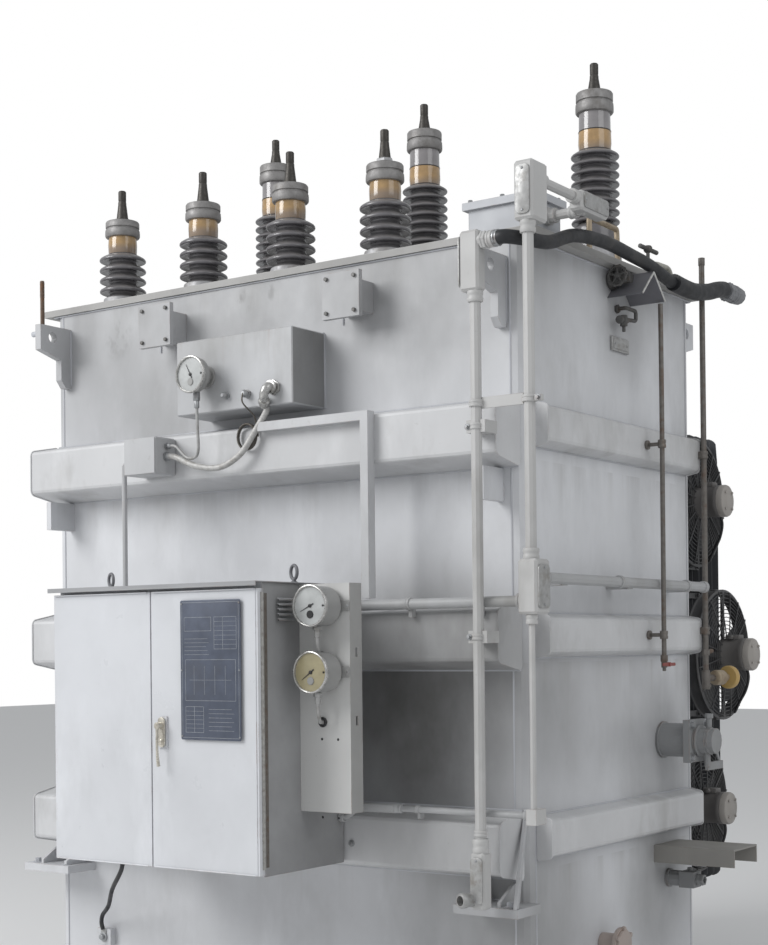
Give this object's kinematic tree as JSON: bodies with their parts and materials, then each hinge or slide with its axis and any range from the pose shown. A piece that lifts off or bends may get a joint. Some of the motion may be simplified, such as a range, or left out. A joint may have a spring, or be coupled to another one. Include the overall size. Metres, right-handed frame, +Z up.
{
  "type": "oil-filled power transformer with control cabinet and fan-cooled radiators",
  "caption": "Oil-filled power transformer: ribbed steel tank on skids, porcelain bushings, control cabinet with hinged doors, conduits and fan-cooled radiators.",
  "frame": {"origin": "on the ground under the middle of the tank, on the underside of the centre skid", "axes": "+Z up, +X along the long front face to the right, -Y out of the front face that carries the cabinet"},
  "size_m": [2.5846, 2.8963, 3.6926],
  "materials": {
    "tank_paint": "satin pale grey paint, rust runs at the welds",
    "cabinet_paint": "satin pale grey paint",
    "conduit_paint": "satin grey paint over galvanised pipe",
    "radiator_paint": "dull dark grey paint",
    "porcelain": "glossy grey glaze",
    "galvanised": "dull zinc",
    "black_rubber": "matt black"
  },
  "bodies": {
    "root": {"base_frame": "tank_paint", "tank_shell": "tank_paint", "top_cover": "tank_paint", "front_rail_top": "tank_paint", "front_rail_middle": "tank_paint", "front_rail_bottom": "tank_paint", "right_rail_top": "tank_paint", "right_rail_middle": "tank_paint", "right_rail_bottom": "tank_paint", "left_rail_top": "tank_paint", "left_rail_middle": "tank_paint", "left_rail_bottom": "tank_paint", "back_rail_top": "tank_paint", "back_rail_middle": "tank_paint", "back_rail_bottom": "tank_paint", "lv_bushing_1": "porcelain", "lv_bushing_2": "porcelain", "lv_bushing_3": "porcelain", "lv_bushing_4": "porcelain", "hv_bushing_1": "porcelain", "hv_bushing_2": "porcelain", "hv_bushing_3": "porcelain", "top_junction_box": "tank_paint", "cabinet_shell": "cabinet_paint", "cabinet_roof": "cabinet_paint", "gauge_panel": "cabinet_paint", "gauge_upper": "galvanised", "gauge_lower": "galvanised", "instrument_box": "tank_paint", "dial_gauge": "galvanised", "side_junction_box": "tank_paint", "flexible_conduit": "conduit_paint", "wire_duct": "conduit_paint", "riser_a": "conduit_paint", "riser_b": "conduit_paint", "front_conduit": "conduit_paint", "low_conduit": "conduit_paint", "end_conduit": "conduit_paint", "cable_hose": "black_rubber", "hose_fitting": "galvanised", "angle_hood": "tank_paint", "sampling_pipe_a": "conduit_paint", "sampling_pipe_b": "conduit_paint", "filter_valve": "tank_paint", "drain_valve": "tank_paint", "channel_bracket": "tank_paint", "radiator_1": "radiator_paint", "radiator_2": "radiator_paint", "radiator_3": "radiator_paint", "fan_1": "radiator_paint", "fan_2": "radiator_paint", "fan_3": "radiator_paint"},
    "left_leaf": {"left_door": "cabinet_paint"},
    "right_leaf": {"right_door": "cabinet_paint"},
    "lever": {"door_handle": "galvanised"},
    "rotor_1": {"fan_rotor_1": "galvanised"},
    "rotor_2": {"fan_rotor_2": "galvanised"},
    "rotor_3": {"fan_rotor_3": "galvanised"}
  },
  "joints": [
    {"name": "left_door_hinge", "type": "hinge", "parent": "root", "child": "left_leaf", "pos_m": [-0.4665, -1.2558, 1.23], "axis": [0, 0, -1], "range_deg": [0, 120]},
    {"name": "right_door_hinge", "type": "hinge", "parent": "root", "child": "right_leaf", "pos_m": [0.4665, -1.2558, 1.23], "axis": [0, 0, 1], "range_deg": [0, 120]},
    {"name": "lever_turn", "type": "hinge", "parent": "right_leaf", "child": "lever", "pos_m": [0.055, -1.3, 1.245], "axis": [0, -1, 0], "range_deg": [0, 90]},
    {"name": "fan_1_spin", "type": "hinge", "parent": "root", "child": "rotor_1", "pos_m": [0.9, 1.08, 0.81], "axis": [1, 0, 0], "continuous": true},
    {"name": "fan_2_spin", "type": "hinge", "parent": "root", "child": "rotor_2", "pos_m": [1.01, 1.08, 1.455], "axis": [1, 0, 0], "continuous": true},
    {"name": "fan_3_spin", "type": "hinge", "parent": "root", "child": "rotor_3", "pos_m": [0.9, 1.08, 2.1], "axis": [1, 0, 0], "continuous": true}
  ]
}
